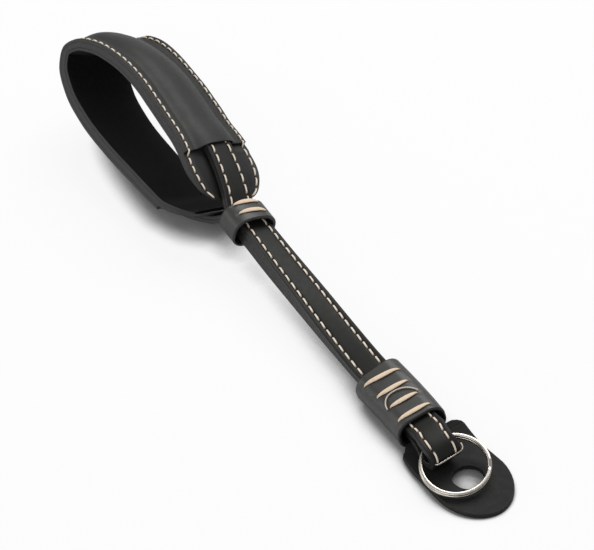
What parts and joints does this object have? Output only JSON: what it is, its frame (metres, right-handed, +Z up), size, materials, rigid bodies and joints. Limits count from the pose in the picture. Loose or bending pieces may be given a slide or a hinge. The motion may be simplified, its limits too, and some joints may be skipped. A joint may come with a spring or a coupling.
{
  "type": "camera wrist strap",
  "caption": "Leather camera wrist strap: padded loop, stitched belt, sliding keeper, sewn sleeve, split ring and a protector tab with a round hole.",
  "frame": {"origin": "middle of the footprint, at the lowest point, where the strap rests on the ground", "axes": "+X along the strap from the wrist loop to the ring and tab, +Z up, +Y across it"},
  "size_m": [0.2418, 0.0398, 0.0427],
  "materials": {
    "belt_leather": "smooth with a low sheen",
    "pad_leather": "smooth with a low sheen",
    "lining_leather": "matte",
    "tube_leather": "smooth with a low sheen",
    "tab_leather": "matte",
    "seam_thread": "waxed thread",
    "cord_thread": "thick twisted thread",
    "ring_steel": "polished"
  },
  "bodies": {
    "strap": {"belt_outer_ply": "belt_leather", "belt_inner_ply": "belt_leather", "belt_seam_near": "seam_thread", "belt_seam_far": "seam_thread", "pad_base": "pad_leather", "pad_cover": "pad_leather", "pad_lining": "lining_leather", "pad_seam_near": "seam_thread", "pad_seam_far": "seam_thread", "sleeve": "tube_leather", "sleeve_stitch_1": "cord_thread", "sleeve_stitch_2": "cord_thread", "sleeve_stitch_3": "cord_thread", "sleeve_stitch_4": "cord_thread", "slack_strand": "cord_thread", "protector_tab": "tab_leather", "fold_clip": "ring_steel"},
    "keeper": {"keeper": "tube_leather", "keeper_stitch_1": "cord_thread", "keeper_stitch_2": "cord_thread"},
    "ring": {"split_ring": "ring_steel"}
  },
  "joints": [
    {"name": "keeper_slide", "type": "slide", "parent": "strap", "child": "keeper", "axis": [0.9935, -0.0723, -0.0884], "range_m": [0, 0.022]},
    {"name": "ring_swing", "type": "hinge", "parent": "strap", "child": "ring", "pos_m": [0.09166, -0.00763, 0.00898], "axis": [-0.024, -0.9937, -0.1097], "range_deg": [0, 150]}
  ]
}
